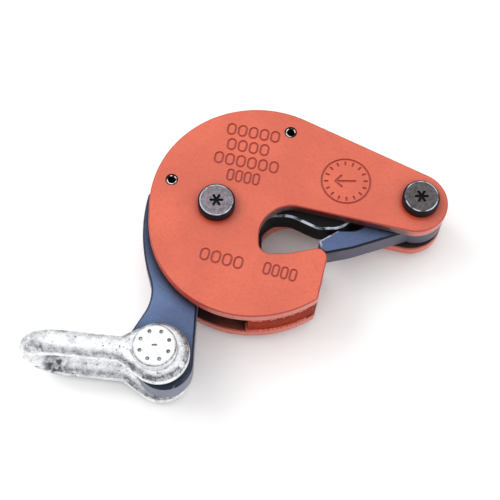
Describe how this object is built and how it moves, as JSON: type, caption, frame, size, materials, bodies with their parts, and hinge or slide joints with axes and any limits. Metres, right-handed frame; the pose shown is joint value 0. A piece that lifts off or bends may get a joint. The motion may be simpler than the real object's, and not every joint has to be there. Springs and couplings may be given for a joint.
{
  "type": "plate lifting clamp",
  "caption": "Lifting clamp lying on its side: hooked side plates with a lever, a clamping arm that closes the mouth, and a shackle",
  "frame": {"origin": "centre of the outer face of the lever pin's rear collar, on the lever's pivot axis and on the surface the clamp lies on", "axes": "+Z square to the side plates and up as it lies; +X from the lever pivot towards the arm pivot and the mouth's open side; the shackle lies towards -X and -Y"},
  "size_m": [0.1974, 0.1391, 0.0467],
  "materials": {
    "plate_paint": "orange-red satin paint, worn at the edges",
    "bar_paint": "dark blue satin paint",
    "dark_steel": "blackened turned steel",
    "spring_steel": "oiled spring steel",
    "bronze": "machined bearing bronze",
    "galvanised": "hot-dip galvanised, mottled"
  },
  "bodies": {
    "frame": {"front_side_plate": "plate_paint", "rear_side_plate": "plate_paint", "lower_jaw_block": "plate_paint", "lever_pin": "dark_steel", "arm_pin": "dark_steel", "lever_pin_collar": "dark_steel", "arm_pin_collar": "dark_steel", "upper_spacer_sleeve": "dark_steel", "left_spacer_sleeve": "dark_steel", "upper_spring_pin": "spring_steel", "left_spring_pin": "spring_steel", "closing_spring": "spring_steel"},
    "lever": {"lifting_lever": "bar_paint", "lever_bush": "bronze", "lever_washer_front": "dark_steel", "lever_washer_rear": "dark_steel", "spring_post": "dark_steel"},
    "arm": {"clamping_arm": "bar_paint", "arm_bush": "bronze", "arm_washer_front": "dark_steel", "arm_washer_rear": "dark_steel"},
    "shackle": {"shackle_bow": "galvanised", "shackle_pin": "galvanised"}
  },
  "joints": [
    {"name": "lever_hinge", "type": "hinge", "parent": "frame", "child": "lever", "pos_m": [0, 0, 0.0185], "axis": [0, 0, 1], "range_deg": [0, 23.5], "stiffness_Nm_per_rad": 0.09, "springref_deg": -68.18, "deforming": ["closing_spring"]},
    {"name": "arm_hinge", "type": "hinge", "parent": "frame", "child": "arm", "pos_m": [0.0956, 0.003, 0.0185], "axis": [0, 0, 1], "range_deg": [-29.38, 0]},
    {"name": "shackle_hinge", "type": "hinge", "parent": "lever", "child": "shackle", "pos_m": [-0.0258, -0.0742, 0.0205], "axis": [0, 0, 1], "range_deg": [-60, 190]}
  ],
  "couplings": [
    {"joint": "arm_hinge", "follows": "lever_hinge", "ratio": -1.25}
  ]
}
